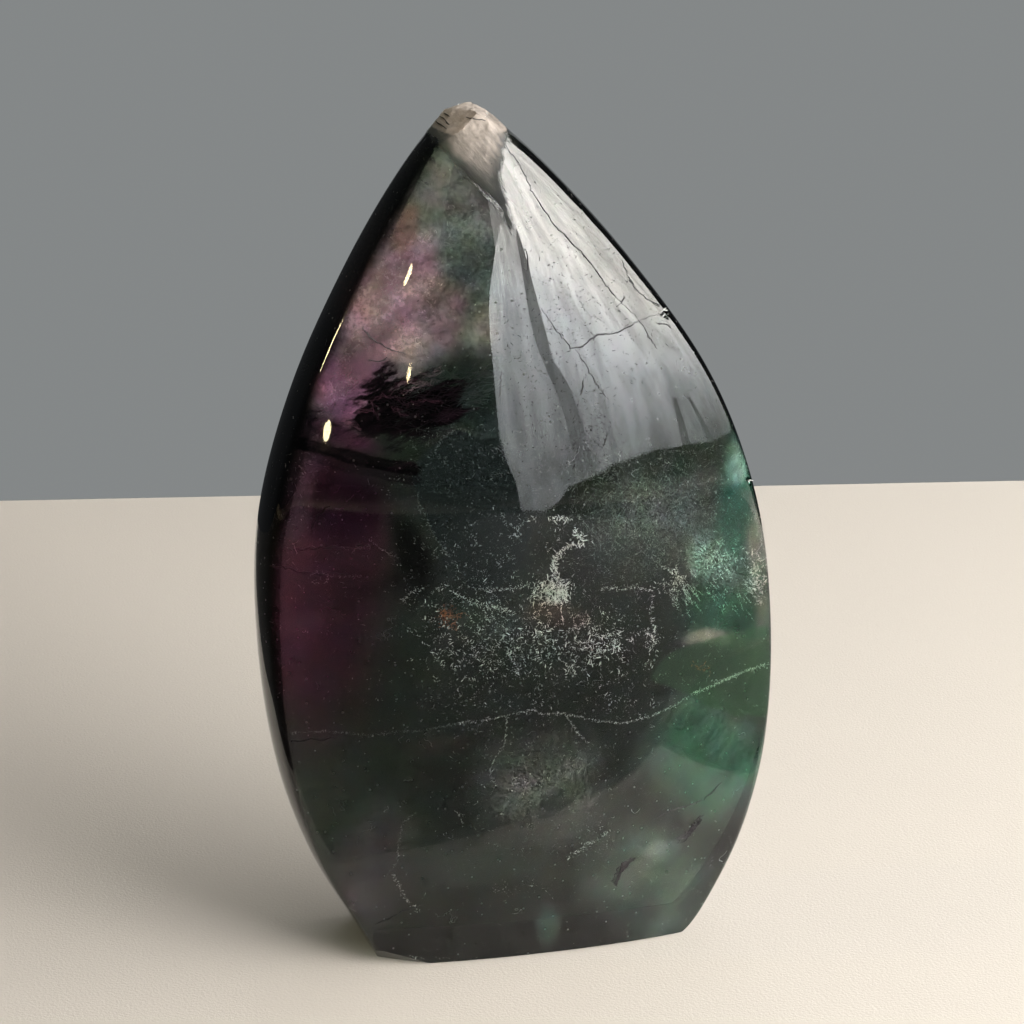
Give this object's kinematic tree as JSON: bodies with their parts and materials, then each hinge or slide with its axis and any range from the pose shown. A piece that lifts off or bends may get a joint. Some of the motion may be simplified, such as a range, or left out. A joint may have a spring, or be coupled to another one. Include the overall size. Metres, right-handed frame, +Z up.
{
  "type": "fluorite freeform",
  "caption": "Polished flame-shaped freeform of smoky purple and green fluorite, domed front and back, with a rough broken tip, standing on a flat sawn foot.",
  "frame": {"origin": "on the table under the middle of the stone", "axes": "+Z up from the foot to the tip, -Y out of the broad front face that the picture shows, X along the stone's width"},
  "size_m": [0.0649, 0.0275, 0.1055],
  "materials": {
    "fluorite": "polished, translucent, with a rough broken tip"
  },
  "bodies": {
    "root": {"fluorite_freeform": "fluorite"}
  },
  "joints": []
}
